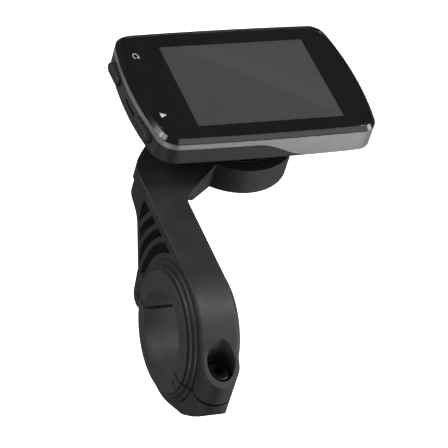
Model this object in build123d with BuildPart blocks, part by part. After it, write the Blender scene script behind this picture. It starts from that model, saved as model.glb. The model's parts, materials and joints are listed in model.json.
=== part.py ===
from build123d import *
import math
import os

# Cycling computer on an out-front handlebar mount. Millimetres.
# +X runs along the handlebar, +Y forward along the arm, +Z out of the computer's face.
# The origin is the centre of the handlebar clamp, on the middle plane of the arm.

os.makedirs("parts", exist_ok=True)

# ---- driving dimensions: handlebar clamp ----
bar_r = 12.7
clamp_bore_r = 15.9
shim_flange_r = 17.6
clamp_half = 8.4
hub_half = 7.6
hub_r = 19.0
hub_step_half = 6.6
hub_step_r = 20.4
ring_r = 22.1
band_half = 5.7
arm_split_h = -2.5
jaw_split_h = -3.5

# ---- clamp bolt, nut and hinge ----
bolt_y = -21.5
bolt_seat_h = 1.6
counterbore_r = 4.3
bolt_head_r = 3.5
bolt_head_len = 3.0
washer_r = 3.9
washer_len = 0.7
shank_r = 1.9
shank_end_h = -9.6
nut_bore_r = 2.2
nut_flats = 7.0
nut_top_h = -5.9
nut_len = 3.0
boss_end_y = -27.2
hinge_y = 22.6
hinge_h = -8.4
hinge_ear_r = 3.8
hinge_pin_r = 1.5
hinge_tongue_half = 2.3
hinge_fork_half = 2.6

# ---- arm and pad ----
arm_top_h = ring_r
arm_end_y = 44.2
web_top_h = 19.1
pad_x = 31.2
pad_y = 57.5
pad_r = 18.0
pad_bottom_h = 13.1
cup_r = 14.0
cup_floor_h = 15.6
neck_corner_h = 17.6
root_half = 5.0
rim_round = 0.6

# ---- quarter-turn fitting ----
receptacle_top_h = 22.0
receptacle_floor_h = 17.4
receptacle_bore_r = 11.7
lip_bore_r = 9.9
lip_bottom_h = 21.0
lip_width = 14.4
barrel_r = 9.3
tab_r = 11.3
tab_width = 11.3
tab_bottom_h = 19.7
tab_top_h = 20.8
boss_plate_r = 13.2
boss_plate_h = 23.7

# ---- computer case ----
case_x = 30.3
case_y = 58.5
case_len = 73.0
case_wid = 49.0
case_corner = 6.0
end_bulge = 2.6
side_bulge = 0.5
face_h = 41.1
bezel_h = 39.7
bezel_skirt_h = 38.9
bezel_slope = 1.15
lens_len = 0.9
lens_drop = 0.05
adhesive_len = 0.15
band_top_h = 39.6
strip_h = 37.8
skirt_h = 32.7
back_h = 24.9
band_wall = 1.3
lining_wall = 1.3
lining_top_h = 38.6
back_wall = 1.7

# ---- display and board ----
display_x = 32.0
display_y = 58.4
window_len = 50.0
window_wid = 38.0
panel_len = 49.0
panel_wid = 37.0
panel_h = 38.6
panel_gap = 0.1
board_h = 32.6
board_len = 1.0
board_top_h = board_h + board_len
screw_dx = 28.0
screw_dy = 16.0
pillar_h = 28.6
post_h = 27.9
post_dx = 22.0
post_dy = 15.5

# ---- buttons and cable cover ----
button_h = 35.7
end_button_len = 9.0
end_button_wid = 3.4
end_button_dy = 12.4
power_x = 44.0
power_len = 7.0
power_wid = 3.0
button_gap = 0.3
sound_slot_y = 56.6
sound_slot_h = 35.1
sound_slot_len = 7.4
sound_slot_wid = 1.4
cover_wid = 10.4
pocket_x = -2.0
pocket_bottom_h = 28.2
cover_hinge_r = 0.5

lens_floor_h = face_h - lens_len - adhesive_len
board_x0 = 1.8
board_x1 = 56.5
board_wid = 36.0
battery_h = back_h + back_wall + 0.1
battery_len = 4.2
socket_wid = 7.6
socket_len_h = 2.6
socket_h = board_h - socket_len_h / 2
button_face_x = -7.0
flange_x = -1.4
flange_len = 0.9
switch_x = 0.3
power_flange_y = 80.0
switch_y = 78.4
switch_dy = 11.2
flex_x = 5.6
case_screw_r = 0.8
case_screw_head_r = 1.5
case_screw_seat_h = 30.0
board_screw_r = 0.8

# ---- slots, screws and small sizes ----
slot_radii = ((35.4, 39.4), (31.2, 33.7), (27.0, 29.5), (22.4, 25.3))
screw_spread = 6.0
screw_r = 1.1
screw_head_r = 2.2
screw_bite = 1.8
shim_slit_len = 2.6
shim_slit_wid = 0.8
jaw_slot_len = 7.2
jaw_slot_wid = 5.2
bolt_socket_flats = 3.0
end_plate_depth = 4.6
end_plate_wid = 40.0
# Case sections going down the back: height, inset from the widest outline, extra corner radius
# and extra inset of the two long sides.
back_sections = ((skirt_h, 0.0, 0.0, 0.0), (30.4, 0.9, 0.6, 1.3), (28.0, 3.6, 2.4, 1.2),
                 (26.0, 7.6, 5.0, 0.8), (back_h, 12.0, 8.0, 0.0))


def write(piece, name):
    """Label a finished piece and write it as its own file."""
    piece.part.label = name
    export_step(piece.part, f"parts/{name}.step")


def case_outline(h, inset, soften=0.0, tuck=0.0):
    """Rounded rectangle of the case with bowed sides, at height h, inset from the widest outline."""
    half_len = case_len / 2 - inset
    half_wid = case_wid / 2 - inset - tuck
    corner_x = half_len - end_bulge
    corner_y = half_wid - side_bulge
    with BuildSketch(Plane((case_x, case_y, h))) as outline:
        with BuildLine():
            ThreePointArc((-corner_x, -corner_y), (-half_len, 0), (-corner_x, corner_y))
            ThreePointArc((-corner_x, corner_y), (0, half_wid), (corner_x, corner_y))
            ThreePointArc((corner_x, corner_y), (half_len, 0), (corner_x, -corner_y))
            ThreePointArc((corner_x, -corner_y), (0, -half_wid), (-corner_x, -corner_y))
        make_face()
        fillet(outline.vertices(), case_corner - 0.5 * inset + soften)
    return outline.sketch


# =====================================================================
# Clamp arm: a clamp half-ring, a flat strip with a slotted web, a neck and a pad
# =====================================================================

with BuildPart() as arm_band:
    with BuildSketch(Plane.YZ):
        Circle(ring_r)
        with BuildLine():
            Polyline((-40, arm_split_h), (40, arm_split_h), (40, -40), (-40, -40), close=True)
        make_face(mode=Mode.SUBTRACT)
        with BuildLine():
            web = FilletPolyline((0, arm_top_h), (arm_end_y, arm_top_h), (arm_end_y, 12.9),
                                 (36.6, 10.6), (27.4, arm_split_h), radius=[2.6, 2.4, 7.0])
            Polyline(web @ 1, (0, arm_split_h), (0, arm_top_h))
        make_face()
        with BuildLine():
            Polyline((-14.0, 15.5), (-22.0, 8.6), (boss_end_y, 4.2), (boss_end_y, arm_split_h),
                     (-10, arm_split_h), (-10, 10), close=True)
        make_face()
    extrude(amount=band_half, both=True)
    side_edges = arm_band.edges().group_by(Axis.X)[0] + arm_band.edges().group_by(Axis.X)[-1]
    fillet(side_edges.filter_by(lambda edge: edge.center().Z > arm_split_h + 0.1), rim_round)

# Ears that reach down to the hinge pin behind the clamp.
with BuildPart() as hinge_ears:
    with BuildSketch(Plane.YZ):
        with BuildLine():
            outside = Line((27.4, arm_split_h + 0.5), (hinge_y + hinge_ear_r, hinge_h))
            ear = ThreePointArc(outside @ 1, (hinge_y, hinge_h - hinge_ear_r),
                                (hinge_y - hinge_ear_r, hinge_h))
            inside = Line(ear @ 1, (hinge_y - hinge_ear_r, arm_split_h + 0.5))
            Line(inside @ 1, outside @ 0)
        make_face()
    extrude(amount=band_half, both=True)

# Corners outside the round end of the bolt boss, cut off both clamp halves.
with BuildPart() as boss_corners:
    with BuildSketch(Plane.XY.offset(-30)):
        with Locations((0, bolt_y - 10)):
            Rectangle(4 * band_half, 20)
        with Locations((0, bolt_y)):
            Circle(band_half + 0.03, mode=Mode.SUBTRACT)
    extrude(amount=60)

# Stepped hub on each side of the band, where the clamp grips the half shims.
with BuildPart() as hub:
    with BuildSketch(Plane.XY):
        with BuildLine():
            Polyline((0, clamp_bore_r), (hub_half, clamp_bore_r), (hub_half, hub_r - 0.5),
                     (hub_half - 0.5, hub_r), (hub_step_half, hub_r), (hub_step_half, hub_step_r - 0.4),
                     (hub_step_half - 0.4, hub_step_r), (0, hub_step_r), close=True)
        make_face()
        mirror(about=Plane.YZ)
    revolve(axis=Axis.X)

# Neck and pad: the strip turns sideways and ends in the round pad.
neck_turn = (0.7071, 0.7071, 0)
neck_side = (0.7071, -0.7071, 0)
with BuildPart() as neck:
    with BuildSketch(Plane.XY.offset(pad_bottom_h)):
        with BuildLine():
            crook = ThreePointArc((root_half, 28.0), (6.7, 31.7), (9.3, 34.3))
            edge = Line(crook @ 1, (21.1, 44.9))
            Line(edge @ 1, (pad_x, pad_y))
            far = Line((pad_x, pad_y), (18.5, 70.2))
            back = Spline(far @ 1, (8.6, 62.2), (0.8, 54.0), (-3.0, 49.4), (-5.0, 45.8),
                          (-root_half, 41.0), tangents=((-0.71, -0.71), (0, -1)))
            Line(back @ 1, (-root_half, 28.0))
            Line((-root_half, 28.0), crook @ 0)
        make_face()
    extrude(amount=arm_top_h - pad_bottom_h)
    with BuildSketch(Plane((6.3, 32.7, 0), x_dir=neck_turn, z_dir=neck_side)):
        with BuildLine():
            Polyline((-40, 5), (17.3, 5), (17.3, pad_bottom_h), (0, neck_corner_h),
                     (-40, neck_corner_h), close=True)
        make_face()
    extrude(amount=80, both=True, mode=Mode.SUBTRACT)
    with BuildSketch(Plane((pad_x, pad_y, pad_bottom_h))):
        Circle(pad_r)
    extrude(amount=arm_top_h - pad_bottom_h)

with BuildPart() as web_slots:
    # Crescent slots, each an arc about the clamp axis, trimmed to the web's own outline.
    with BuildSketch(Plane.YZ.offset(-2 * band_half)):
        for slot_in, slot_out in slot_radii:
            Circle(slot_out)
            Circle(slot_in, mode=Mode.SUBTRACT)
        with BuildLine():
            Polyline((6.5, web_top_h), (34.6, web_top_h), (35.4, 15.5), (35.0, 11.6), (31.2, 7.0),
                     (27.4, 0.6), (25.6, -1.6), (10, -1.6), close=True)
        make_face(mode=Mode.INTERSECT)
    extrude(amount=4 * band_half)

with BuildPart() as hub_upper:
    add(hub.part)
    split(bisect_by=Plane.XY.offset(arm_split_h), keep=Keep.TOP)

with BuildPart() as mount_arm:
    add(arm_band.part)
    add(hinge_ears.part)
    add(boss_corners.part, mode=Mode.SUBTRACT)
    add(neck.part)
    add(hub_upper.part)
    add(web_slots.part, mode=Mode.SUBTRACT)
    # Clamp bore.
    with BuildSketch(Plane.YZ.offset(-2 * band_half)):
        Circle(clamp_bore_r)
    extrude(amount=4 * band_half, mode=Mode.SUBTRACT)
    # Counterbored bolt hole, cut down into the boss.
    with BuildSketch(Plane((0, bolt_y, bolt_seat_h))):
        Circle(counterbore_r)
    extrude(amount=30, mode=Mode.SUBTRACT)
    with BuildSketch(Plane((0, bolt_y, bolt_seat_h))):
        Circle(shank_r + 0.3)
    extrude(amount=-10, mode=Mode.SUBTRACT)
    # Hinge fork and pin hole.
    with BuildSketch(Plane.YZ.offset(-hinge_fork_half)):
        with BuildLine():
            Polyline((15, arm_split_h), (30, arm_split_h), (30, -20), (15, -20), close=True)
        make_face()
    extrude(amount=2 * hinge_fork_half, mode=Mode.SUBTRACT)
    with BuildSketch(Plane.YZ.offset(-2 * band_half)):
        with Locations((hinge_y, hinge_h)):
            Circle(hinge_pin_r)
    extrude(amount=4 * band_half, mode=Mode.SUBTRACT)
    # Cup in the pad for the quarter-turn receptacle.
    with BuildSketch(Plane((pad_x, pad_y, cup_floor_h))):
        Circle(cup_r)
    extrude(amount=10, mode=Mode.SUBTRACT)
    with BuildSketch(Plane((pad_x, pad_y, cup_floor_h))):
        with GridLocations(2 * screw_spread, 1, 2, 1):
            Circle(screw_r)
    extrude(amount=-screw_bite, mode=Mode.SUBTRACT)

# =====================================================================
# Quarter-turn receptacle in the pad, and its two countersunk screws
# =====================================================================

with BuildPart() as receptacle_screws:
    with BuildSketch(Plane((pad_x, pad_y, cup_floor_h - screw_bite + 0.2))):
        with GridLocations(2 * screw_spread, 1, 2, 1):
            Circle(screw_r)
    extrude(amount=receptacle_floor_h - 0.8 - cup_floor_h + screw_bite - 0.2)
    with BuildSketch(Plane((pad_x, pad_y, receptacle_floor_h - 0.1))):
        with GridLocations(2 * screw_spread, 1, 2, 1):
            Circle(screw_head_r)
    extrude(amount=-1.1, taper=45)
    with BuildSketch(Plane((pad_x, pad_y, receptacle_floor_h - 0.1))):
        with GridLocations(2 * screw_spread, 1, 2, 1):
            SlotOverall(3.2, 0.7)
            SlotOverall(3.2, 0.7, rotation=90)
    extrude(amount=-0.7, mode=Mode.SUBTRACT)

with BuildPart() as bayonet_receptacle:
    with BuildSketch(Plane((pad_x, pad_y, cup_floor_h))):
        Circle(cup_r)
    extrude(amount=receptacle_top_h - cup_floor_h)
    chamfer(bayonet_receptacle.edges().sort_by(Axis.Z)[-1], 0.4)
    with BuildSketch(Plane((pad_x, pad_y, receptacle_floor_h))):
        Circle(receptacle_bore_r)
    extrude(amount=10, mode=Mode.SUBTRACT)
    # Two lips that overhang the bore at its ends along X.
    with BuildSketch(Plane((pad_x, pad_y, lip_bottom_h))):
        Circle(receptacle_bore_r + 0.5)
        Circle(lip_bore_r, mode=Mode.SUBTRACT)
        Rectangle(40, lip_width, mode=Mode.INTERSECT)
    extrude(amount=receptacle_top_h - lip_bottom_h)
    with BuildSketch(Plane((pad_x, pad_y, receptacle_floor_h - 0.1))):
        with GridLocations(2 * screw_spread, 1, 2, 1):
            Circle(screw_head_r)
    extrude(amount=-1.1, taper=45, mode=Mode.SUBTRACT)
    with BuildSketch(Plane((pad_x, pad_y, receptacle_floor_h - 0.1))):
        with GridLocations(2 * screw_spread, 1, 2, 1):
            Circle(screw_head_r)
    extrude(amount=0.2, mode=Mode.SUBTRACT)
    with BuildSketch(Plane((pad_x, pad_y, cup_floor_h))):
        with GridLocations(2 * screw_spread, 1, 2, 1):
            Circle(screw_r)
    extrude(amount=2, mode=Mode.SUBTRACT)

# =====================================================================
# Half shims, hinge pin, clamp jaw, captive nut and bolt
# =====================================================================

with BuildPart() as shim_sleeve:
    with BuildSketch(Plane.XY):
        with BuildLine():
            Polyline((0, bar_r), (clamp_half, bar_r), (clamp_half, shim_flange_r - 0.3),
                     (clamp_half - 0.3, shim_flange_r), (hub_half, shim_flange_r),
                     (hub_half, clamp_bore_r), (0, clamp_bore_r), close=True)
        make_face()
        mirror(about=Plane.YZ)
    revolve(axis=Axis.X)

with BuildPart() as upper_shim:
    add(shim_sleeve.part)
    split(bisect_by=Plane.XY.offset(arm_split_h), keep=Keep.TOP)

with BuildPart() as lower_shim:
    add(shim_sleeve.part)
    split(bisect_by=Plane.XY.offset(jaw_split_h), keep=Keep.BOTTOM)
    # Relief slit beside the seam on the bolt side.
    with BuildSketch(Plane.YZ.offset(-2 * clamp_half)):
        with Locations(Location((-14.6, -6.2), 22)):
            Rectangle(shim_slit_len, shim_slit_wid)
    extrude(amount=4 * clamp_half, mode=Mode.SUBTRACT)

with BuildPart() as hinge_pin:
    with BuildSketch(Plane.YZ.offset(-band_half)):
        with Locations((hinge_y, hinge_h)):
            Circle(hinge_pin_r)
    extrude(amount=2 * band_half)
    chamfer(hinge_pin.edges().filter_by(GeomType.CIRCLE), 0.2)

# The boss runs from its knee to the point where that line touches the ring.
boss_knee = Vector(-19.0, -14.9)
knee_turn = math.degrees(math.atan2(-boss_knee.Y, -boss_knee.X))
foot_turn = math.degrees(math.acos(ring_r / boss_knee.length))
boss_foot = Vector(-ring_r, 0).rotate(Axis.Z, knee_turn + foot_turn)
ear_clear_y = hinge_y - hinge_ear_r - 0.3

with BuildPart() as jaw_band:
    with BuildSketch(Plane.YZ):
        Circle(ring_r)
        with BuildLine():
            flank = FilletPolyline((boss_end_y, jaw_split_h), (boss_end_y, -7.2), boss_knee, boss_foot,
                                   radius=[6.0, 6.0])
            Polyline(flank @ 1, (-8, jaw_split_h), flank @ 0)
        make_face()
        with BuildLine():
            Polyline((-40, jaw_split_h), (40, jaw_split_h), (40, 40), (-40, 40), close=True)
        make_face(mode=Mode.SUBTRACT)
        with BuildLine():
            Polyline((ear_clear_y, 10), (ear_clear_y, hinge_h), (40, hinge_h), (40, 10), close=True)
        make_face(mode=Mode.SUBTRACT)
        with Locations((hinge_y, hinge_h)):
            Circle(hinge_ear_r + 0.3, mode=Mode.SUBTRACT)
    extrude(amount=band_half, both=True)
    side_edges = jaw_band.edges().group_by(Axis.X)[0] + jaw_band.edges().group_by(Axis.X)[-1]
    rim = side_edges.filter_by(lambda edge: edge.center().Z < jaw_split_h - 0.1 and edge.center().Y < 14)
    fillet(rim, rim_round)

with BuildPart() as hub_lower:
    add(hub.part)
    split(bisect_by=Plane.XY.offset(jaw_split_h), keep=Keep.BOTTOM)
    # Clear of the hinge ears and their sweep.
    with BuildSketch(Plane.YZ.offset(-2 * band_half)):
        with Locations((hinge_y, hinge_h)):
            Circle(hinge_ear_r + 0.4)
        with BuildLine():
            Polyline((ear_clear_y, 10), (ear_clear_y, hinge_h), (40, hinge_h), (40, 10), close=True)
        make_face()
    extrude(amount=4 * band_half, mode=Mode.SUBTRACT)

with BuildPart() as clamp_jaw:
    add(jaw_band.part)
    add(hub_lower.part)
    add(boss_corners.part, mode=Mode.SUBTRACT)
    # Hinge tongue.
    with BuildSketch(Plane.YZ.offset(-hinge_tongue_half)):
        with BuildLine():
            Polyline((15, jaw_split_h), (18.6, jaw_split_h), (22.9, -4.9), (23.2, -11.8),
                     (14.5, -16.5), close=True)
        make_face()
        with Locations((hinge_y, hinge_h)):
            Circle(hinge_ear_r - 0.2)
    extrude(amount=2 * hinge_tongue_half)
    # Clamp bore.
    with BuildSketch(Plane.YZ.offset(-2 * band_half)):
        Circle(clamp_bore_r)
    extrude(amount=4 * band_half, mode=Mode.SUBTRACT)
    with BuildSketch(Plane.YZ.offset(-2 * band_half)):
        with Locations((hinge_y, hinge_h)):
            Circle(hinge_pin_r + 0.05)
    extrude(amount=4 * band_half, mode=Mode.SUBTRACT)
    # Bolt slot, long enough for the jaw to swing off the bolt, and the captive nut's pocket.
    with BuildSketch(Plane((0, bolt_y, jaw_split_h + 1))):
        SlotOverall(jaw_slot_len, jaw_slot_wid, rotation=90)
    extrude(amount=-20, mode=Mode.SUBTRACT)
    with BuildSketch(Plane((0, bolt_y, nut_top_h))):
        RegularPolygon(nut_flats / 2, 6, major_radius=False)
    extrude(amount=-20, mode=Mode.SUBTRACT)

with BuildPart() as clamp_nut:
    with BuildSketch(Plane((0, bolt_y, nut_top_h))):
        RegularPolygon(nut_flats / 2, 6, major_radius=False)
        Circle(nut_bore_r, mode=Mode.SUBTRACT)
    extrude(amount=-nut_len)

bolt_head_h = bolt_seat_h + washer_len

with BuildPart() as bolt_washer:
    with BuildSketch(Plane((0, bolt_y, bolt_seat_h))):
        Circle(washer_r)
        Circle(shank_r + 0.1, mode=Mode.SUBTRACT)
    extrude(amount=washer_len)

with BuildPart() as clamp_bolt:
    with BuildSketch(Plane((0, bolt_y, bolt_head_h))):
        Circle(bolt_head_r)
    extrude(amount=bolt_head_len)
    fillet(clamp_bolt.edges().sort_by(Axis.Z)[-1], 0.5)
    with BuildSketch(Plane((0, bolt_y, bolt_head_h + bolt_head_len))):
        RegularPolygon(bolt_socket_flats / 2, 6, major_radius=False)
    extrude(amount=-0.7 * bolt_head_len, mode=Mode.SUBTRACT)
    with BuildSketch(Plane((0, bolt_y, bolt_head_h))):
        Circle(shank_r)
    extrude(amount=shank_end_h - bolt_head_h)
    chamfer(clamp_bolt.edges().sort_by(Axis.Z)[0], 0.4)

# =====================================================================
# Computer case: rear housing, silver side band, end strip, bezel and lens
# =====================================================================

# Everything of the side wall that lies below the band's S-shaped lower edge.
with BuildPart() as below_wave:
    with BuildSketch(Plane.XZ.offset(-120)):
        with BuildLine():
            flat = Line((-20, strip_h), (25.0, strip_h))
            wave = Spline(flat @ 1, (34.0, 35.4), (43.5, skirt_h), tangents=((1, 0), (1, 0)))
            down = Line(wave @ 1, (43.5, 20))
            floor_edge = Line(down @ 1, (-20, 20))
            Line(floor_edge @ 1, flat @ 0)
        make_face()
    extrude(amount=120)

# Grey end wall region at the button end, between the near and far corners.
with BuildPart() as end_region:
    with BuildSketch(Plane.XY.offset(skirt_h)):
        with Locations((case_x - case_len / 2, case_y)):
            Rectangle(2 * end_plate_depth, end_plate_wid)
    extrude(amount=strip_h - 0.1 - skirt_h)

with BuildPart() as case_back:
    loft([case_outline(level, inset, soften, tuck) for level, inset, soften, tuck in back_sections])

with BuildPart() as case_hollow:
    loft([case_outline(level + back_wall, inset + band_wall + lining_wall, soften, tuck)
          for level, inset, soften, tuck in back_sections])
    extrude(case_outline(skirt_h, band_wall + lining_wall), amount=10)

with BuildPart() as side_band:
    extrude(case_outline(skirt_h, 0), amount=band_top_h - skirt_h)
    extrude(case_outline(skirt_h, band_wall), amount=band_top_h - skirt_h, mode=Mode.SUBTRACT)
    add(below_wave.part, mode=Mode.SUBTRACT)
    with BuildSketch(Plane.XZ.offset(-case_y)):
        with Locations((power_x, button_h)):
            SlotOverall(power_len + 2 * button_gap, power_wid + 2 * button_gap)
    extrude(amount=-40, mode=Mode.SUBTRACT)

with BuildPart() as button_plate:
    extrude(case_outline(skirt_h, 0), amount=strip_h - 0.1 - skirt_h)
    extrude(case_outline(skirt_h, band_wall), amount=10, mode=Mode.SUBTRACT)
    add(end_region.part, mode=Mode.INTERSECT)
    with BuildSketch(Plane.YZ.offset(case_x - case_len)):
        with Locations((case_y - end_button_dy, button_h), (case_y + end_button_dy, button_h)):
            SlotOverall(end_button_len + 2 * button_gap, end_button_wid + 2 * button_gap)
        # Sound slot between the buttons, over the lining.
        with Locations((sound_slot_y, sound_slot_h)):
            SlotOverall(sound_slot_len, sound_slot_wid)
    extrude(amount=case_len / 2 + 10, mode=Mode.SUBTRACT)

with BuildPart() as case_skirt:
    extrude(case_outline(skirt_h, 0), amount=strip_h - skirt_h)
    add(below_wave.part, mode=Mode.INTERSECT)
    add(end_region.part, mode=Mode.SUBTRACT)

with BuildPart() as rear_housing:
    add(case_back.part)
    add(case_skirt.part)
    extrude(case_outline(skirt_h, band_wall), amount=lining_top_h - skirt_h)
    add(case_hollow.part, mode=Mode.SUBTRACT)
    # Screw pillars at the corners and posts under the board.
    with BuildSketch(Plane((case_x, case_y, pillar_h))):
        with GridLocations(2 * screw_dx, 2 * screw_dy, 2, 2):
            Circle(2.6)
    extrude(amount=board_h + 0.6 - pillar_h)
    with BuildSketch(Plane((case_x, case_y, post_h))):
        with GridLocations(2 * post_dx, 2 * post_dy, 2, 2):
            Circle(1.8)
    extrude(amount=board_h - post_h)
    # Screw holes from the back, with a head seat.
    with BuildSketch(Plane((case_x, case_y, back_h - 5))):
        with GridLocations(2 * screw_dx, 2 * screw_dy, 2, 2):
            Circle(case_screw_head_r + 0.1)
    extrude(amount=case_screw_seat_h - back_h + 5, mode=Mode.SUBTRACT)
    with BuildSketch(Plane((case_x, case_y, back_h - 5))):
        with GridLocations(2 * screw_dx, 2 * screw_dy, 2, 2):
            Circle(case_screw_r)
    extrude(amount=20, mode=Mode.SUBTRACT)
    with BuildSketch(Plane((case_x, case_y, back_h + 3))):
        with GridLocations(2 * post_dx, 2 * post_dy, 2, 2):
            Circle(board_screw_r)
    extrude(amount=10, mode=Mode.SUBTRACT)
    # Openings for the two end buttons and the side button.
    with BuildSketch(Plane.YZ.offset(case_x - case_len)):
        with Locations((case_y - end_button_dy, button_h), (case_y + end_button_dy, button_h)):
            SlotOverall(end_button_len + 2 * button_gap, end_button_wid + 2 * button_gap)
    extrude(amount=case_len / 2 + 10, mode=Mode.SUBTRACT)
    with BuildSketch(Plane.XZ.offset(-case_y)):
        with Locations((power_x, button_h)):
            SlotOverall(power_len + 2 * button_gap, power_wid + 2 * button_gap)
    extrude(amount=-40, mode=Mode.SUBTRACT)

# Pocket for the cable socket, with a wall behind it.
with BuildPart() as socket_block:
    with BuildSketch(Plane.XY.offset(back_h)):
        with Locations((pocket_x - 3.0, case_y)):
            Rectangle(9.0, cover_wid + 3.6)
    extrude(amount=skirt_h - back_h)
    add(case_back.part, mode=Mode.INTERSECT)

with BuildPart() as socket_pocket:
    with BuildSketch(Plane.XY.offset(pocket_bottom_h)):
        with Locations((pocket_x - 5.0, case_y)):
            Rectangle(10.0, cover_wid + 2 * button_gap)
    extrude(amount=skirt_h - pocket_bottom_h)

with BuildPart() as housing_shell:
    add(rear_housing.part)
    add(socket_block.part)
    add(socket_pocket.part, mode=Mode.SUBTRACT)
    with BuildSketch(Plane.YZ.offset(pocket_x - 1)):
        with Locations((case_y, socket_h)):
            Rectangle(socket_wid, socket_len_h)
    extrude(amount=3, mode=Mode.SUBTRACT)

# The cover's lower edge is a round bead, which it turns on.
cover_hinge_x = pocket_x - button_gap - cover_hinge_r
cover_hinge_h = pocket_bottom_h + button_gap + cover_hinge_r

with BuildPart() as usb_cover:
    with BuildSketch(Plane.XY.offset(cover_hinge_h)):
        with Locations((pocket_x - button_gap - 5.0, case_y)):
            Rectangle(10.0, cover_wid)
    extrude(amount=skirt_h - button_gap - cover_hinge_h)
    add(case_back.part, mode=Mode.INTERSECT)
    with BuildSketch(Plane.XZ.offset(-case_y - cover_wid / 2)):
        with Locations((cover_hinge_x, cover_hinge_h)):
            Circle(cover_hinge_r)
    extrude(amount=cover_wid)

with BuildPart() as front_bezel:
    extrude(case_outline(bezel_h, 0), amount=face_h - bezel_h)
    chamfer(front_bezel.edges().group_by(Axis.Z)[-1], bezel_slope)
    extrude(case_outline(bezel_skirt_h, band_wall + 0.05), amount=bezel_h - bezel_skirt_h)
    extrude(case_outline(lens_floor_h, band_wall), amount=10, mode=Mode.SUBTRACT)
    with BuildSketch(Plane((display_x, display_y, bezel_skirt_h))):
        Rectangle(window_len, window_wid)
    extrude(amount=10, mode=Mode.SUBTRACT)
    with BuildSketch(Plane((case_x, case_y, board_h + 0.8))):
        with GridLocations(2 * screw_dx, 2 * screw_dy, 2, 2):
            Circle(2.2)
            Circle(case_screw_r, mode=Mode.SUBTRACT)
    extrude(amount=bezel_skirt_h - board_h - 0.8)

with BuildPart() as front_lens:
    extrude(case_outline(face_h - lens_len, band_wall + 0.06), amount=lens_len - lens_drop)
    chamfer(front_lens.edges().group_by(Axis.Z)[-1], 0.12)

with BuildPart() as lens_adhesive:
    extrude(case_outline(lens_floor_h, band_wall + 0.4), amount=adhesive_len)
    with BuildSketch(Plane((display_x, display_y, lens_floor_h))):
        Rectangle(window_len, window_wid)
    extrude(amount=1, mode=Mode.SUBTRACT)

with BuildPart() as housing_gasket:
    extrude(case_outline(lining_top_h, band_wall + 0.2), amount=bezel_skirt_h - lining_top_h)
    extrude(case_outline(lining_top_h, band_wall + lining_wall - 0.1), amount=5, mode=Mode.SUBTRACT)

with BuildPart() as display_panel:
    with BuildSketch(Plane((display_x, display_y, panel_h))):
        RectangleRounded(panel_len, panel_wid, 0.8)
    extrude(amount=face_h - lens_len - panel_gap - panel_h)

# =====================================================================
# Quarter-turn boss on the computer's back
# =====================================================================

with BuildPart() as bayonet_boss:
    with BuildSketch(Plane((pad_x, pad_y, boss_plate_h))):
        Circle(boss_plate_r)
    extrude(amount=back_h - boss_plate_h)
    chamfer(bayonet_boss.edges().group_by(Axis.Z)[0], 0.5)
    with BuildSketch(Plane((pad_x, pad_y, tab_bottom_h))):
        Circle(barrel_r)
    extrude(amount=boss_plate_h - tab_bottom_h)
    with BuildSketch(Plane((pad_x, pad_y, tab_bottom_h))):
        Circle(tab_r)
        Rectangle(tab_width, 40, mode=Mode.INTERSECT)
    extrude(amount=tab_top_h - tab_bottom_h)
    with BuildSketch(Plane((pad_x, pad_y, tab_bottom_h))):
        Circle(barrel_r - 2.2)
    extrude(amount=0.6, mode=Mode.SUBTRACT)
    # Drive marks: two shallow grooves across the dished face.
    with BuildSketch(Plane((pad_x, pad_y, tab_bottom_h + 0.6))):
        with GridLocations(1, 5.0, 1, 2):
            SlotOverall(8.0, 1.2)
    extrude(amount=0.5, mode=Mode.SUBTRACT)

# =====================================================================
# Inside the case
# =====================================================================

with BuildPart() as main_board:
    with BuildSketch(Plane.XY.offset(board_h)):
        with Locations(((board_x0 + board_x1) / 2, case_y)):
            RectangleRounded(board_x1 - board_x0, board_wid, 1.0)
        with Locations((case_x, case_y)):
            with GridLocations(2 * screw_dx, 2 * screw_dy, 2, 2):
                Circle(3.0, mode=Mode.SUBTRACT)
            with GridLocations(2 * post_dx, 2 * post_dy, 2, 2):
                Circle(board_screw_r, mode=Mode.SUBTRACT)
    extrude(amount=board_len)

with BuildPart() as board_screws:
    with BuildSketch(Plane((case_x, case_y, board_h - 3.4))):
        with GridLocations(2 * post_dx, 2 * post_dy, 2, 2):
            Circle(board_screw_r)
    extrude(amount=board_top_h - board_h + 3.4)
    with BuildSketch(Plane((case_x, case_y, board_top_h))):
        with GridLocations(2 * post_dx, 2 * post_dy, 2, 2):
            Circle(1.5)
    extrude(amount=0.8)
    with BuildSketch(Plane((case_x, case_y, board_top_h + 0.8))):
        with GridLocations(2 * post_dx, 2 * post_dy, 2, 2):
            RegularPolygon(0.7, 6)
    extrude(amount=-0.6, mode=Mode.SUBTRACT)

with BuildPart() as housing_screws:
    with BuildSketch(Plane((case_x, case_y, case_screw_seat_h - 1.2))):
        with GridLocations(2 * screw_dx, 2 * screw_dy, 2, 2):
            Circle(case_screw_head_r)
    extrude(amount=1.2)
    with BuildSketch(Plane((case_x, case_y, case_screw_seat_h - 1.2))):
        with GridLocations(2 * screw_dx, 2 * screw_dy, 2, 2):
            RegularPolygon(0.85, 6)
    extrude(amount=0.8, mode=Mode.SUBTRACT)
    with BuildSketch(Plane((case_x, case_y, case_screw_seat_h))):
        with GridLocations(2 * screw_dx, 2 * screw_dy, 2, 2):
            Circle(case_screw_r)
    extrude(amount=bezel_skirt_h - 0.3 - case_screw_seat_h)

with BuildPart() as shield_can:
    with BuildSketch(Plane((case_x - 5, case_y + 2, board_top_h))):
        RectangleRounded(24, 20, 0.8)
    extrude(amount=1.8)
    fillet(shield_can.edges().group_by(Axis.Z)[-1], 0.3)

with BuildPart() as gps_antenna:
    with BuildSketch(Plane((case_x + 17, case_y, board_top_h))):
        RectangleRounded(14, 14, 0.6)
    extrude(amount=3.2)
    with BuildSketch(Plane((case_x + 17, case_y, board_top_h + 3.2))):
        Circle(0.8)
    extrude(amount=0.3)

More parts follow.
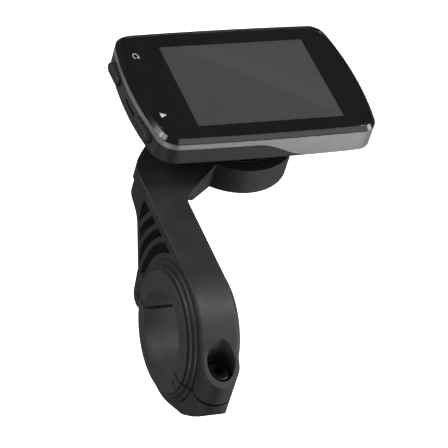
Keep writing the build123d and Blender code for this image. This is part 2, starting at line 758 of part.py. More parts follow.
with BuildPart() as buzzer:
    with BuildSketch(Plane((case_x + 8, case_y - 13, board_top_h))):
        Circle(4.5)
    extrude(amount=1.9)
    with BuildSketch(Plane((case_x + 8, case_y - 13, board_top_h + 1.9))):
        Circle(0.7)
    extrude(amount=-0.9, mode=Mode.SUBTRACT)

with BuildPart() as battery:
    with BuildSketch(Plane((case_x, case_y, battery_h))):
        RectangleRounded(42, 19, 1.5)
    extrude(amount=battery_len)
    fillet(battery.edges().group_by(Axis.Z)[0], 0.8)

with BuildPart() as battery_foam:
    with BuildSketch(Plane((case_x, case_y, battery_h + battery_len))):
        Rectangle(36, 15)
    extrude(amount=0.6)

with BuildPart() as usb_connector:
    with BuildSketch(Plane.YZ.offset(pocket_x)):
        with Locations((case_y, socket_h)):
            RectangleRounded(socket_wid, socket_len_h, 0.5)
    extrude(amount=5.4)
    with BuildSketch(Plane.YZ.offset(pocket_x)):
        with Locations((case_y, socket_h)):
            RectangleRounded(socket_wid - 0.7, socket_len_h - 0.7, 0.3)
    extrude(amount=4.6, mode=Mode.SUBTRACT)
    with BuildSketch(Plane.YZ.offset(pocket_x + 0.6)):
        with Locations((case_y, socket_h + 0.35)):
            Rectangle(4.2, 0.6)
    extrude(amount=4.2)

with BuildPart() as display_flex:
    with BuildSketch(Plane.XZ.offset(-case_y + 6)):
        with BuildLine():
            Polyline((9.5, panel_h), (flex_x, panel_h), (flex_x, board_top_h + 0.9),
                     (10.5, board_top_h + 0.9), (10.5, board_top_h), (8.0, board_top_h),
                     (8.0, board_top_h + 0.7), (flex_x + 0.2, board_top_h + 0.7),
                     (flex_x + 0.2, panel_h - 0.2), (9.5, panel_h - 0.2), close=True)
        make_face()
    extrude(amount=-12)

# Side-acting switches at the board's edge, one behind each button.
with BuildPart() as tact_switches:
    with BuildSketch(Plane.XY.offset(board_top_h)):
        with Locations((switch_x + 1.8, case_y - switch_dy), (switch_x + 1.8, case_y + switch_dy)):
            Rectangle(3.6, 4.0)
        with Locations((power_x, switch_y - 1.8)):
            Rectangle(4.6, 3.6)
    extrude(amount=3.2)

# =====================================================================
# Buttons
# =====================================================================


def end_button(side):
    """Rubber button in the end plate: a proud rounded cap and a flange inside the wall."""
    with BuildPart() as button:
        with BuildSketch(Plane.YZ.offset(button_face_x)):
            with Locations((case_y + side * end_button_dy, button_h)):
                SlotOverall(end_button_len, end_button_wid)
        extrude(amount=flange_x - button_face_x)
        fillet(button.edges().group_by(Axis.X)[0], 0.7)
        with BuildSketch(Plane.YZ.offset(flange_x)):
            with Locations((case_y + side * end_button_dy, button_h)):
                SlotOverall(end_button_len + 0.8, end_button_wid + 1.0)
        extrude(amount=flange_len)
    return button


lap_button = end_button(1)
start_button = end_button(-1)

with BuildPart() as power_button:
    with BuildSketch(Plane.XZ.offset(-(case_y + case_wid / 2 + 0.7))):
        with Locations((power_x, button_h)):
            SlotOverall(power_len, power_wid)
    extrude(amount=case_y + case_wid / 2 + 0.7 - power_flange_y)
    fillet(power_button.edges().group_by(Axis.Y)[-1], 0.5)
    with BuildSketch(Plane.XZ.offset(-power_flange_y)):
        with Locations((power_x, button_h)):
            SlotOverall(power_len + 1.4, power_wid + 1.2)
    extrude(amount=flange_len)

pieces = {
    "mount_arm": mount_arm,
    "bayonet_receptacle": bayonet_receptacle,
    "receptacle_screws": receptacle_screws,
    "upper_shim": upper_shim,
    "hinge_pin": hinge_pin,
    "clamp_jaw": clamp_jaw,
    "lower_shim": lower_shim,
    "clamp_nut": clamp_nut,
    "clamp_bolt": clamp_bolt,
    "bolt_washer": bolt_washer,
    "front_lens": front_lens,
    "lens_adhesive": lens_adhesive,
    "display_panel": display_panel,
    "front_bezel": front_bezel,
    "side_band": side_band,
    "button_plate": button_plate,
    "rear_housing": housing_shell,
    "housing_gasket": housing_gasket,
    "bayonet_boss": bayonet_boss,
    "main_board": main_board,
    "board_screws": board_screws,
    "shield_can": shield_can,
    "gps_antenna": gps_antenna,
    "buzzer": buzzer,
    "battery": battery,
    "battery_foam": battery_foam,
    "usb_connector": usb_connector,
    "display_flex": display_flex,
    "tact_switches": tact_switches,
    "housing_screws": housing_screws,
    "lap_button": lap_button,
    "start_button": start_button,
    "power_button": power_button,
    "usb_cover": usb_cover,
}
for name, piece in pieces.items():
    write(piece, name)
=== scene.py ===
import json
import math

import bmesh
import bpy
from mathutils import Matrix, Vector


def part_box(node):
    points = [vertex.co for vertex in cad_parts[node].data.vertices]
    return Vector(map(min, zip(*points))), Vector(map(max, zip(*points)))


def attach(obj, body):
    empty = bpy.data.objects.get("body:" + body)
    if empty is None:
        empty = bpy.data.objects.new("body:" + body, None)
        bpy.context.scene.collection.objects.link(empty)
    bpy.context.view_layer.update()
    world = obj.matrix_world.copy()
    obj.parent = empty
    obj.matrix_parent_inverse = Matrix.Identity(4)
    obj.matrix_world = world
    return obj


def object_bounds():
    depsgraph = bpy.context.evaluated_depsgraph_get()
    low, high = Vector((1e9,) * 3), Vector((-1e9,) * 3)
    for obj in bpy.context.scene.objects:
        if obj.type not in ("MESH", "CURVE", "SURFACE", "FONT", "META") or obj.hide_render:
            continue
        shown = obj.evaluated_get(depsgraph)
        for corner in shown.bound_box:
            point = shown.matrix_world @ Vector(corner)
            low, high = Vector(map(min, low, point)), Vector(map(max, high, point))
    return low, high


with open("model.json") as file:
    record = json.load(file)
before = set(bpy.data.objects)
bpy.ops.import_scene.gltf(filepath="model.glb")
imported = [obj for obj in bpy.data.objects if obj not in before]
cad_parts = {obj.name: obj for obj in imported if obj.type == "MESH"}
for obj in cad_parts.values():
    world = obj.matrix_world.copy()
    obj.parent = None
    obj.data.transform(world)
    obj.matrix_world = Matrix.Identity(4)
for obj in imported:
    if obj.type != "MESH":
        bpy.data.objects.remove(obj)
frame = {"nodes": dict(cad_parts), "record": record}
cad_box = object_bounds()

MM = 0.001
DISPLAY_SIZE = (46.8, 35.1)     # mm
# Painted reflection on the display: a lighter region past one diagonal, drawn into the display's glow.
SHEEN_START_SHARE = 0.36         # of the display's width, left of its middle
SHEEN_EDGE_BLUR = 0.4 * MM
SHEEN_FADE = 16 * MM
DOT_PITCH = 0.3 * MM
# Painted glow: the display emits light though it is no lamp, standing in for the light it would catch.
PAINTED_GLOW_STRENGTH = 0.047


# ---------------------------------------------------------------- camera

AIM = Vector((0.0112, 0.0163, 0.0248))
CAMERA_DISTANCE = 0.7145
CAMERA_AZIMUTH = math.radians(32.4)
CAMERA_ELEVATION = math.radians(41.0)
CAMERA_ROLL = math.radians(17.5)
CAMERA_LENS = 201.0


def place_camera():
    """Long lens looking down on the face from the clamp's side, rolled clockwise."""
    level = Vector((math.cos(CAMERA_AZIMUTH), -math.sin(CAMERA_AZIMUTH), 0))
    ahead = Vector((math.sin(CAMERA_AZIMUTH), math.cos(CAMERA_AZIMUTH), 0))
    forward = ahead * math.cos(CAMERA_ELEVATION) - Vector((0, 0, math.sin(CAMERA_ELEVATION)))
    upright = level.cross(forward)
    right = level * math.cos(CAMERA_ROLL) + upright * math.sin(CAMERA_ROLL)
    up = upright * math.cos(CAMERA_ROLL) - level * math.sin(CAMERA_ROLL)
    data = bpy.data.cameras.new("camera")
    data.lens = CAMERA_LENS
    data.sensor_width = 36.0
    data.clip_start = 0.01
    camera = bpy.data.objects.new("camera", data)
    turn = Matrix((right, up, -forward)).transposed().to_4x4()
    camera.matrix_world = Matrix.Translation(AIM - forward * CAMERA_DISTANCE) @ turn
    bpy.context.collection.objects.link(camera)
    bpy.context.scene.camera = camera


place_camera()


# ---------------------------------------------------------------- material tools

def linear(hex_colour):
    """An sRGB hex colour as linear RGBA."""
    shares = [int(hex_colour[i:i + 2], 16) / 255 for i in (0, 2, 4)]
    return tuple(s / 12.92 if s <= 0.04045 else ((s + 0.055) / 1.055) ** 2.4 for s in shares) + (1.0,)


def add_node(tree, kind, settings=(), inputs=()):
    """A shader or geometry node with its settings. Each input is set to a constant or linked to a socket."""
    made = tree.nodes.new(kind)
    for name, value in dict(settings).items():
        setattr(made, name, value)
    for name, value in dict(inputs).items():
        if isinstance(value, bpy.types.NodeSocket):
            tree.links.new(value, made.inputs[name])
        else:
            made.inputs[name].default_value = value
    return made


def new_material(name):
    """An empty node material, its tree and its output node."""
    material = bpy.data.materials.new(name)
    material.use_nodes = True
    tree = material.node_tree
    tree.nodes.clear()
    return material, tree, add_node(tree, "ShaderNodeOutputMaterial")


def finish_surface(tree, output, **sockets):
    """The Principled surface that ends a material."""
    names = {key.replace("_", " "): value for key, value in sockets.items()}
    surface = add_node(tree, "ShaderNodeBsdfPrincipled", inputs=names)
    tree.links.new(surface.outputs["BSDF"], output.inputs["Surface"])


def object_noise(tree, size_mm, detail):
    """Noise of the given size, fixed to the object."""
    place = add_node(tree, "ShaderNodeTexCoord")
    noise = add_node(tree, "ShaderNodeTexNoise", inputs={
        "Vector": place.outputs["Object"], "Scale": 1 / (size_mm * MM), "Detail": detail})
    return noise.outputs["Fac"]


def two_tones(tree, dark, light, scale_mm, detail=2.0):
    """A colour that drifts between two hex tones over the given size."""
    ramp = add_node(tree, "ShaderNodeValToRGB", inputs={"Fac": object_noise(tree, scale_mm, detail)})
    ramp.color_ramp.elements[0].position = 0.35
    ramp.color_ramp.elements[0].color = linear(dark)
    ramp.color_ramp.elements[1].position = 0.68
    ramp.color_ramp.elements[1].color = linear(light)
    return ramp.outputs["Color"]


def grain(tree, grain_mm, height_mm, edge_mm=0.0, detail=3.0):
    """A normal with fine grain, over edges softened by the given radius."""
    inputs = {"Height": object_noise(tree, grain_mm, detail), "Distance": height_mm * MM}
    if edge_mm:
        bevel = add_node(tree, "ShaderNodeBevel", {"samples": 4}, {"Radius": edge_mm * MM})
        inputs["Normal"] = bevel.outputs["Normal"]
    bump = add_node(tree, "ShaderNodeBump", inputs=inputs)
    return bump.outputs["Normal"]


def roughness_drift(tree, low, high, scale_mm):
    """Roughness that varies between two values over the given size, as handling and moulding leave it."""
    spread = add_node(tree, "ShaderNodeMapRange", inputs={
        "Value": object_noise(tree, scale_mm, 4.0),
        "From Min": 0.3, "From Max": 0.7, "To Min": low, "To Max": high})
    return spread.outputs["Result"]


# ---------------------------------------------------------------- materials

panel_low, panel_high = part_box("display_panel")
DISPLAY_CENTRE = (panel_low + panel_high) / 2
# The painted reflection's edge runs from the left of the display's top edge to its lower right corner.
sheen_start = DISPLAY_CENTRE.xy + Vector((-SHEEN_START_SHARE * DISPLAY_SIZE[0], DISPLAY_SIZE[1] / 2)) * MM
sheen_end = DISPLAY_CENTRE.xy + Vector((DISPLAY_SIZE[0] / 2, -DISPLAY_SIZE[1] / 2)) * MM
sheen_way = (sheen_end - sheen_start).normalized()
SHEEN_ACROSS = (-sheen_way.y, sheen_way.x, 0)
SHEEN_EDGE = sheen_start.x * SHEEN_ACROSS[0] + sheen_start.y * SHEEN_ACROSS[1]


def glass_filled_nylon():
    """Glass-filled nylon from a spark-eroded tool: black with a soft highlight and a fine dry grain."""
    material, tree, output = new_material("glass_filled_nylon")
    finish_surface(tree, output,
                   Base_Color=two_tones(tree, "212122", "2a2a2b", 9.0),
                   Roughness=roughness_drift(tree, 0.46, 0.58, 6.0),
                   Normal=grain(tree, 0.28, 0.012, edge_mm=0.35))
    return material


def moulded_acetal():
    """Acetal, moulded: denser black than the arm, with a slight waxy shine."""
    material, tree, output = new_material("moulded_acetal")
    finish_surface(tree, output,
                   Base_Color=two_tones(tree, "161616", "1b1b1b", 5.0),
                   Roughness=roughness_drift(tree, 0.36, 0.46, 4.0),
                   Normal=grain(tree, 0.35, 0.004, edge_mm=0.15))
    return material


def thermoplastic_rubber(name, dark, light, rough):
    """Thermoplastic rubber, moulded: dull dark grey with a soft sheen at grazing angles."""
    material, tree, output = new_material(name)
    finish_surface(tree, output,
                   Base_Color=two_tones(tree, dark, light, 4.0),
                   Roughness=roughness_drift(tree, rough - 0.05, rough + 0.07, 3.0),
                   Sheen_Weight=0.12, Sheen_Roughness=0.4,
                   Normal=grain(tree, 0.22, 0.006, edge_mm=0.2))
    return material


def polished_black_bezel():
    """Polished polycarbonate: near black, mirror smooth, with the faintest moulding waviness."""
    material, tree, output = new_material("polished_black_polycarbonate")
    finish_surface(tree, output,
                   Base_Color=two_tones(tree, "0a0a0b", "0d0d0e", 12.0),
                   Roughness=roughness_drift(tree, 0.07, 0.12, 10.0),
                   IOR=1.58, Coat_Weight=0.3, Coat_Roughness=0.04,
                   Normal=grain(tree, 7.0, 0.003, edge_mm=0.12, detail=1.0))
    return material


def cover_glass():
    """Chemically hardened glass, polished: clear, so the printed border and the display show through it."""
    material, tree, output = new_material("hardened_cover_glass")
    rounded = add_node(tree, "ShaderNodeBevel", {"samples": 6}, {"Radius": 0.15 * MM})
    finish_surface(tree, output,
                   Base_Color=linear("f6f7f7"), Roughness=0.02, IOR=1.5, Transmission_Weight=1.0,
                   Normal=rounded.outputs["Normal"])
    return material


def screen_printed_black():
    """Ink printed on the back of the glass: an even, deep black."""
    material, tree, output = new_material("screen_printed_ink")
    finish_surface(tree, output,
                   Base_Color=two_tones(tree, "050505", "080808", 3.0), Roughness=0.5,
                   Specular_IOR_Level=0.15,
                   Normal=grain(tree, 0.12, 0.001))
    return material


def silver_paint(name, dark, light, rough):
    """Aluminium-flake paint on moulded plastic, clear-coated: satin silver with a fine sparkle of flakes."""
    material, tree, output = new_material(name)
    finish_surface(tree, output,
                   Base_Color=two_tones(tree, dark, light, 0.16, detail=4.0), Metallic=0.72,
                   Roughness=roughness_drift(tree, rough - 0.03, rough + 0.05, 0.8),
                   Coat_Weight=0.35, Coat_Roughness=0.12,
                   Normal=grain(tree, 0.12, 0.0008, edge_mm=0.12))
    return material


def textured_abs():
    """ABS, moulded in an etched tool: charcoal black with a fine texture that breaks up the highlight."""
    material, tree, output = new_material("etched_abs")
    finish_surface(tree, output,
                   Base_Color=two_tones(tree, "1d1d1e", "242425", 7.0),
                   Roughness=roughness_drift(tree, 0.42, 0.52, 5.0),
                   Normal=grain(tree, 0.2, 0.009, edge_mm=0.15))
    return material


def display_with_painted_glow():
    """Transflective display, asleep: an even grey with a fine grid of dots, given a painted glow
    though it is no lamp, and a painted reflection that makes it a little lighter past one diagonal."""
    material, tree, output = new_material("transflective_display_painted_glow")
    place = add_node(tree, "ShaderNodeTexCoord")
    # The real dots are 0.15 mm apart. They are drawn at 0.3 mm, so that the grid survives at this size.
    dots = add_node(tree, "ShaderNodeTexVoronoi", {"distance": "CHEBYCHEV"}, {
        "Vector": place.outputs["Object"], "Scale": 1 / DOT_PITCH, "Randomness": 0.0})
    lines = add_node(tree, "ShaderNodeMapRange", inputs={
        "Value": dots.outputs["Distance"], "From Min": 0.36, "From Max": 0.5, "To Min": 1.0, "To Max": 0.9})
    # Painted reflection: the glow is lifted past a diagonal edge and fades away from it.
    across = add_node(tree, "ShaderNodeVectorMath", {"operation": "DOT_PRODUCT"}, {
        0: place.outputs["Object"]})
    across.inputs[1].default_value = SHEEN_ACROSS
    past_sheen_edge = add_node(tree, "ShaderNodeMapRange", {"interpolation_type": "SMOOTHSTEP"}, {
        "Value": across.outputs["Value"], "From Min": SHEEN_EDGE, "From Max": SHEEN_EDGE + SHEEN_EDGE_BLUR,
        "To Min": 0.0, "To Max": 1.0})
    sheen_fade = add_node(tree, "ShaderNodeMapRange", inputs={
        "Value": across.outputs["Value"], "From Min": SHEEN_EDGE, "From Max": SHEEN_EDGE + SHEEN_FADE,
        "To Min": 0.3, "To Max": 0.12})
    sheen_lift = add_node(tree, "ShaderNodeMath", {"operation": "MULTIPLY_ADD"}, {
        0: past_sheen_edge.outputs["Result"], 1: sheen_fade.outputs["Result"], 2: 1.0})
    painted_glow = add_node(tree, "ShaderNodeMath", {"operation": "MULTIPLY"}, {
        0: sheen_lift.outputs["Value"], 1: lines.outputs["Result"]})
    # Painted glow: the dot grid and the painted reflection are shown through emission, not lit by the lamps.
    strength = add_node(tree, "ShaderNodeMath", {"operation": "MULTIPLY"}, {
        0: painted_glow.outputs["Value"], 1: PAINTED_GLOW_STRENGTH})
    finish_surface(tree, output, Base_Color=linear("2c2c2d"), Roughness=0.42,
                   Emission_Color=linear("f3f3f3"), Emission_Strength=strength.outputs["Value"])
    return material


def bare_steel():
    """Zinc-plated steel: pale grey metal with a light turned grain."""
    material, tree, output = new_material("zinc_plated_steel")
    finish_surface(tree, output,
                   Base_Color=two_tones(tree, "9a9c9f", "b3b5b8", 1.2), Metallic=1.0,
                   Roughness=roughness_drift(tree, 0.24, 0.36, 0.8),
                   Normal=grain(tree, 0.25, 0.003, edge_mm=0.08))
    return material


def black_oxide_steel():
    """Steel with a black-oxide finish: dark metal with a dull oily shine."""
    material, tree, output = new_material("black_oxide_steel")
    finish_surface(tree, output,
                   Base_Color=two_tones(tree, "2a2a2c", "38383a", 1.5), Metallic=0.9,
                   Roughness=roughness_drift(tree, 0.3, 0.42, 1.0),
                   Normal=grain(tree, 0.2, 0.004, edge_mm=0.1))
    return material


def tin_plate():
    """Tin-plated sheet: bright, slightly smeared."""
    material, tree, output = new_material("tin_plate")
    finish_surface(tree, output,
                   Base_Color=two_tones(tree, "b4b6b8", "cfd0d2", 2.0), Metallic=1.0,
                   Roughness=roughness_drift(tree, 0.2, 0.34, 2.0),
                   Normal=grain(tree, 0.6, 0.004))
    return material


def solder_mask():
    """Glass-epoxy board under green solder mask, with the faint weave of the cloth beneath."""
    material, tree, output = new_material("green_solder_mask")
    place = add_node(tree, "ShaderNodeTexCoord")
    weave = add_node(tree, "ShaderNodeTexChecker", inputs={
        "Vector": place.outputs["Object"], "Scale": 1 / (0.6 * MM)})
    bump = add_node(tree, "ShaderNodeBump", inputs={"Height": weave.outputs["Fac"], "Distance": 0.004 * MM})
    finish_surface(tree, output, Base_Color=two_tones(tree, "174a2f", "215c3c", 4.0), Roughness=0.32,
                   Normal=bump.outputs["Normal"])
    return material


def plain_finish(name, dark, light, tone_mm, rough, grain_mm, height_mm, metallic=0.0):
    """A moulded, fired or laminated inner piece: two close tones and a light grain of its own size."""
    material, tree, output = new_material(name)
    finish_surface(tree, output,
                   Base_Color=two_tones(tree, dark, light, tone_mm), Metallic=metallic,
                   Roughness=roughness_drift(tree, rough - 0.05, rough + 0.06, tone_mm),
                   Normal=grain(tree, grain_mm, height_mm))
    return material


def white_print():
    """White ink, printed on the face: flat and slightly raised."""
    material, tree, output = new_material("white_printed_ink")
    finish_surface(tree, output, Base_Color=two_tones(tree, "d4d4d2", "e2e2e0", 0.6), Roughness=0.42,
                   Normal=grain(tree, 0.1, 0.002))
    return material


FINISHES = {
    "arm_plastic": glass_filled_nylon(),
    "receptacle_plastic": moulded_acetal(),
    "shim_rubber": thermoplastic_rubber("shim_rubber", "262627", "2f2f30", 0.62),
    "steel": bare_steel(),
    "black_steel": black_oxide_steel(),
    "lens_glass": cover_glass(),
    "bezel_gloss": polished_black_bezel(),
    "display": display_with_painted_glow(),
    "silver_band": silver_paint("satin_silver_paint", "aaacae", "b8babc", 0.3),
    "grey_plate": silver_paint("dark_grey_paint", "4a4b4c", "555657", 0.4),
    "housing_plastic": textured_abs(),
    "button_rubber": thermoplastic_rubber("button_rubber", "252526", "2d2d2e", 0.5),
    "gasket_rubber": thermoplastic_rubber("gasket_rubber", "171718", "1d1d1e", 0.6),
    "adhesive": plain_finish("foam_tape", "101011", "161617", 1.5, 0.7, 0.3, 0.01),
    "board": solder_mask(),
    "tin_can": tin_plate(),
    "ceramic": plain_finish("fired_ceramic", "bfb59c", "cfc6ae", 2.0, 0.5, 0.2, 0.005),
    "battery_foil": plain_finish("laminated_foil", "9b9da0", "b2b4b7", 8.0, 0.34, 1.6, 0.02, metallic=0.85),
    "foam": plain_finish("soft_foam", "2d2d2f", "3a3a3c", 1.0, 0.85, 0.5, 0.06),
    "flex_film": plain_finish("polyimide_film", "8f5a1e", "a86c28", 3.0, 0.3, 0.8, 0.004),
}
PRINT_BLACK = screen_printed_black()
GOLD = plain_finish("gold_plate", "b8913c", "cba550", 1.0, 0.25, 0.4, 0.002, metallic=1.0)
PRINT_WHITE = white_print()


def dress(obj, material):
    """Gives every slot of an object the same material."""
    if not obj.material_slots:
        obj.data.materials.append(material)
    for material_slot in obj.material_slots:
        material_slot.material = material


for part in frame["record"]["subparts"]:
    dress(frame["nodes"][part["node"]], FINISHES[part["material_slot"]])


# ---------------------------------------------------------------- piece tools

def piece_from(name, mesh_maker, material, body):
    """A finished piece from a function that fills a bmesh, dressed, slotted and riding on its body."""
    shape = bmesh.new()
    mesh_maker(shape)
    bmesh.ops.recalc_face_normals(shape, faces=shape.faces)
    mesh = bpy.data.meshes.new(name)
    shape.to_mesh(mesh)
    shape.free()
    made = bpy.data.objects.new(name, mesh)
    bpy.context.collection.objects.link(made)
    dress(made, material)
    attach(made, body)


def add_prism(shape, outline, low, high):
    """A closed prism on a flat outline of (x, y) points between two heights."""
    bottom = [shape.verts.new((x, y, low)) for x, y in outline]
    top = [shape.verts.new((x, y, high)) for x, y in outline]
    shape.faces.new(list(reversed(bottom)))
    shape.faces.new(top)
    count = len(outline)
    for i in range(count):
        follower = (i + 1) % count
        shape.faces.new((bottom[i], bottom[follower], top[follower], top[i]))


# ---------------------------------------------------------------- display border and face icons

lens_low, lens_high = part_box("front_lens")
GLASS_TOP = lens_high.z
PRINT_LOW = lens_low.z + 0.005 * MM
PRINT_LEN = 0.03 * MM
PRINT_INSET = 0.3 * MM
WINDOW_CORNER = 0.25 * MM
# Each mark's middle, from the glass's corner nearest the start button.
LAP_MARK_PLACE = Vector((4.6, 36.8)) * MM
START_MARK_PLACE = Vector((4.2, 10.7)) * MM


def rounded_rectangle(centre, half_x, half_y, radius, steps=6):
    """Corner-rounded rectangle as a list of (x, y) points, counter-clockwise."""
    points = []
    for quarter, (side_x, side_y) in enumerate(((1, 1), (-1, 1), (-1, -1), (1, -1))):
        for step in range(steps + 1):
            angle = math.pi / 2 * (quarter + step / steps)
            points.append((centre.x + side_x * (half_x - radius) + radius * math.cos(angle),
                           centre.y + side_y * (half_y - radius) + radius * math.sin(angle)))
    return points


def glass_outline():
    """The glass's own outline at its back, drawn in a little, as (x, y) points in order."""
    vertices = frame["nodes"]["front_lens"].data.vertices
    corners = [v.co for v in vertices if v.co.z < lens_low.z + 0.02 * MM]
    middle = (lens_low + lens_high) / 2
    corners.sort(key=lambda c: math.atan2(c.y - middle.y, c.x - middle.x))
    points = []
    for corner in corners:
        way = (corner - middle).xy
        point = middle.xy + way * (1 - PRINT_INSET / way.length)
        if not points or (point - points[-1]).length > 0.01 * MM:
            points.append(point)
    return points


def printed_border(shape):
    """The black border printed on the back of the glass, with the display's window cut in it."""
    half_x = DISPLAY_SIZE[0] / 2 * MM
    half_y = DISPLAY_SIZE[1] / 2 * MM
    window = rounded_rectangle(DISPLAY_CENTRE, half_x, half_y, WINDOW_CORNER)
    edges = []
    for outline in (glass_outline(), window):
        ring = [shape.verts.new((x, y, PRINT_LOW)) for x, y in outline]
        edges += [shape.edges.new((a, b)) for a, b in zip(ring, ring[1:] + ring[:1])]
    filled = bmesh.ops.triangle_fill(shape, edges=edges, use_beauty=True)["geom"]
    sheet = [item for item in filled if isinstance(item, bmesh.types.BMFace)]
    raised = bmesh.ops.extrude_face_region(shape, geom=sheet)["geom"]
    raised_verts = [item for item in raised if isinstance(item, bmesh.types.BMVert)]
    bmesh.ops.translate(shape, vec=(0, 0, PRINT_LEN), verts=raised_verts)


def loop_arrow(shape):
    """Lap mark: a rounded loop, open near its lower end, with an arrow head."""
    middle = lens_low.xy + LAP_MARK_PLACE
    reach = 1.1 * MM
    half_line = 0.14 * MM
    start = math.radians(-35)
    turn = math.radians(285)
    steps = 20
    ways = [Vector((0.72 * math.cos(start + turn * i / steps), math.sin(start + turn * i / steps)))
            for i in range(steps + 1)]
    outer = [middle + way * (reach + half_line) for way in ways]
    inner = [middle + way * (reach - half_line) for way in ways]
    add_prism(shape, [tuple(p) for p in outer + inner[::-1]], GLASS_TOP, GLASS_TOP + PRINT_LEN)
    end = middle + ways[0] * reach
    head = [end + Vector(corner) * MM for corner in ((-0.5, 0.1), (0.05, -0.62), (0.5, 0.18))]
    add_prism(shape, [tuple(p) for p in head], GLASS_TOP, GLASS_TOP + PRINT_LEN)


def play_mark(shape):
    """Start mark: a small triangle."""
    middle = lens_low.xy + START_MARK_PLACE
    outline = [(middle.x - 0.9 * MM, middle.y + 1.05 * MM), (middle.x - 0.9 * MM, middle.y - 1.05 * MM),
               (middle.x + 1.0 * MM, middle.y)]
    add_prism(shape, outline, GLASS_TOP, GLASS_TOP + PRINT_LEN)


piece_from("printed_border", printed_border, PRINT_BLACK, "computer")
piece_from("lap_mark", loop_arrow, PRINT_WHITE, "computer")
piece_from("start_mark", play_mark, PRINT_WHITE, "computer")


# ---------------------------------------------------------------- repeated small pieces

UNIT_SIDES = 14
KNURL_COUNT = 36
KNURL_WIDTH = 0.4 * MM
KNURL_LEN = 1.7 * MM
KNURL_SUNK = 0.08 * MM
RIB_COUNT = 4
RIB_STEP = 1.5 * MM
RIB_WIDTH = 0.5 * MM
RIB_LEN = 1.9 * MM
RIB_PROUD = 0.02 * MM
RIB_H = 35.7 * MM
CONTACT_COUNT = 5
CONTACT_STEP = 0.65 * MM
CONTACT_SIZE = (3.2 * MM, 0.32 * MM, 0.06 * MM)
CONTACT_IN = 2.4 * MM
CONTACT_DROP = 0.63 * MM


def repeat_tree(name, ring, round_unit):
    """Geometry nodes that put one small unit at each point of a ring or of a straight row."""
    tree = bpy.data.node_groups.new(name, "GeometryNodeTree")
    for label, kind in (("Count", "NodeSocketInt"), ("Ring Radius", "NodeSocketFloat"),
                        ("Step", "NodeSocketVector"), ("Unit Size", "NodeSocketVector"),
                        ("Place", "NodeSocketVector"), ("Finish", "NodeSocketMaterial")):
        tree.interface.new_socket(name=label, in_out="INPUT", socket_type=kind)
    tree.interface.new_socket(name="Geometry", in_out="OUTPUT", socket_type="NodeSocketGeometry")
    given = add_node(tree, "NodeGroupInput").outputs
    if ring:
        points = add_node(tree, "GeometryNodeMeshCircle", inputs={
            "Vertices": given["Count"], "Radius": given["Ring Radius"]})
    else:
        points = add_node(tree, "GeometryNodeMeshLine", {"mode": "OFFSET"}, {
            "Count": given["Count"], "Offset": given["Step"]})
    if round_unit:
        unit = add_node(tree, "GeometryNodeMeshCylinder", inputs={
            "Vertices": UNIT_SIDES, "Radius": 0.5, "Depth": 1.0})
    else:
        unit = add_node(tree, "GeometryNodeMeshCube")
    placed = add_node(tree, "GeometryNodeInstanceOnPoints", inputs={
        "Points": points.outputs["Mesh"], "Instance": unit.outputs["Mesh"], "Scale": given["Unit Size"]})
    moved = add_node(tree, "GeometryNodeTransform", inputs={
        "Geometry": placed.outputs["Instances"], "Translation": given["Place"]})
    real = add_node(tree, "GeometryNodeRealizeInstances", inputs={"Geometry": moved.outputs["Geometry"]})
    finished = add_node(tree, "GeometryNodeSetMaterial", inputs={
        "Geometry": real.outputs["Geometry"], "Material": given["Finish"]})
    add_node(tree, "NodeGroupOutput", inputs={"Geometry": finished.outputs["Geometry"]})
    return tree


def grow(name, tree, values, body):
    """A plain mesh piece made by a repeat tree with the given inputs."""
    holder = bpy.data.objects.new(name + "_source", bpy.data.meshes.new(name + "_source"))
    bpy.context.collection.objects.link(holder)
    modifier = holder.modifiers.new("repeat", "NODES")
    modifier.node_group = tree
    for item in tree.interface.items_tree:
        if item.in_out == "INPUT" and item.name in values:
            modifier[item.identifier] = values[item.name]
    mesh = bpy.data.meshes.new_from_object(holder.evaluated_get(bpy.context.evaluated_depsgraph_get()))
    mesh.name = name
    holder.modifiers.remove(modifier)
    bpy.data.objects.remove(holder)
    made = bpy.data.objects.new(name, mesh)
    bpy.context.collection.objects.link(made)
    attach(made, body)


bolt_low, bolt_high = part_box("clamp_bolt")
bolt_middle = (bolt_low + bolt_high) / 2
HEAD_RADIUS = (bolt_high.x - bolt_low.x) / 2
knurl = repeat_tree("knurl_ridges", ring=True, round_unit=True)
grow("head_knurl", knurl, {
    "Count": KNURL_COUNT, "Ring Radius": HEAD_RADIUS - KNURL_SUNK,
    "Unit Size": (KNURL_WIDTH, KNURL_WIDTH, KNURL_LEN),
    "Place": (bolt_middle.x, bolt_middle.y, bolt_high.z - KNURL_LEN),
    "Finish": FINISHES["black_steel"]}, "bolt")

grips = repeat_tree("grip_ribs", ring=False, round_unit=True)
for button, body in (("lap_button", "lap"), ("start_button", "start")):
    low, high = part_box(button)
    first_rib_y = (low.y + high.y) / 2 - RIB_STEP * (RIB_COUNT - 1) / 2
    grow(body + "_grip_ribs", grips, {
        "Count": RIB_COUNT, "Step": (0, RIB_STEP, 0), "Unit Size": (RIB_WIDTH, RIB_WIDTH, RIB_LEN),
        "Place": (low.x + RIB_PROUD, first_rib_y, RIB_H),
        "Finish": FINISHES["button_rubber"]}, body)

socket_low, socket_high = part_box("usb_connector")
first_contact_y = (socket_low.y + socket_high.y) / 2 - CONTACT_STEP * (CONTACT_COUNT - 1) / 2
contacts = repeat_tree("socket_contacts", ring=False, round_unit=False)
grow("socket_contacts", contacts, {
    "Count": CONTACT_COUNT, "Step": (0, CONTACT_STEP, 0), "Unit Size": CONTACT_SIZE,
    "Place": (socket_low.x + CONTACT_IN, first_contact_y, socket_high.z - CONTACT_DROP),
    "Finish": GOLD}, "computer")


# ---------------------------------------------------------------- floor, light and sky

FLOOR_DROP = 0.22
FLOOR_RADIUS = 6.0
SKY_STRENGTH = 0.13
LIGHTS_AIM = (0.02, 0.03, 0.01)


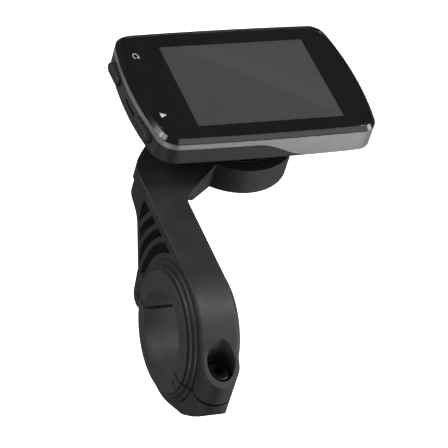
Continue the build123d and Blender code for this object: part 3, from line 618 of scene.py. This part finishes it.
def pale_floor():
    """A wide pale floor, far enough below the object for its shadow to fade out."""
    shape = bmesh.new()
    bmesh.ops.create_circle(shape, cap_ends=True, radius=FLOOR_RADIUS, segments=64)
    mesh = bpy.data.meshes.new("floor")
    shape.to_mesh(mesh)
    shape.free()
    floor = bpy.data.objects.new("floor", mesh)
    floor.location = (0, 0, cad_box[0][2] - FLOOR_DROP)
    bpy.context.collection.objects.link(floor)
    material, tree, output = new_material("pale_studio_paper")
    finish_surface(tree, output, Base_Color=linear("f4f4f3"), Roughness=0.9,
                   Emission_Color=linear("ffffff"), Emission_Strength=0.9)
    dress(floor, material)
    floor.visible_diffuse = False
    floor.visible_glossy = False


def soft_box(name, place, width, height, power):
    """A rectangular studio light aimed at the object. Sizes are in metres."""
    data = bpy.data.lights.new(name, "AREA")
    data.shape = "RECTANGLE"
    data.size = width
    data.size_y = height
    data.energy = power
    light = bpy.data.objects.new(name, data)
    light.location = place
    light.rotation_euler = (Vector(LIGHTS_AIM) - Vector(place)).to_track_quat("-Z", "Y").to_euler()
    bpy.context.collection.objects.link(light)


def grey_sky(strength):
    """Even, dim surroundings."""
    world = bpy.data.worlds.new("studio")
    world.use_nodes = True
    world.node_tree.nodes["Background"].inputs["Color"].default_value = linear("ffffff")
    world.node_tree.nodes["Background"].inputs["Strength"].default_value = strength
    bpy.context.scene.world = world


pale_floor()
grey_sky(SKY_STRENGTH)
soft_box("key_light", (-0.95, 0.15, 0.95), 0.7, 0.7, 6)
soft_box("front_light", (0.5, -0.88, 0.84), 1.3, 0.5, 2.2)
soft_box("top_right_light", (0.75, -0.1, 0.95), 0.3, 0.3, 8)
soft_box("right_light", (1.1, -0.3, 0.25), 0.4, 0.8, 6)
soft_box("left_light", (-1.1, 0.5, 0.45), 0.5, 0.8, 4)
soft_box("low_left_light", (-0.62, -0.38, -0.17), 0.4, 0.3, 1.7)
soft_box("low_front_light", (0.35, -0.55, -0.17), 0.5, 0.3, 1.7)
soft_box("low_right_light", (0.7, -0.45, -0.17), 0.6, 0.3, 1.2)
bpy.context.scene.view_settings.view_transform = "Standard"
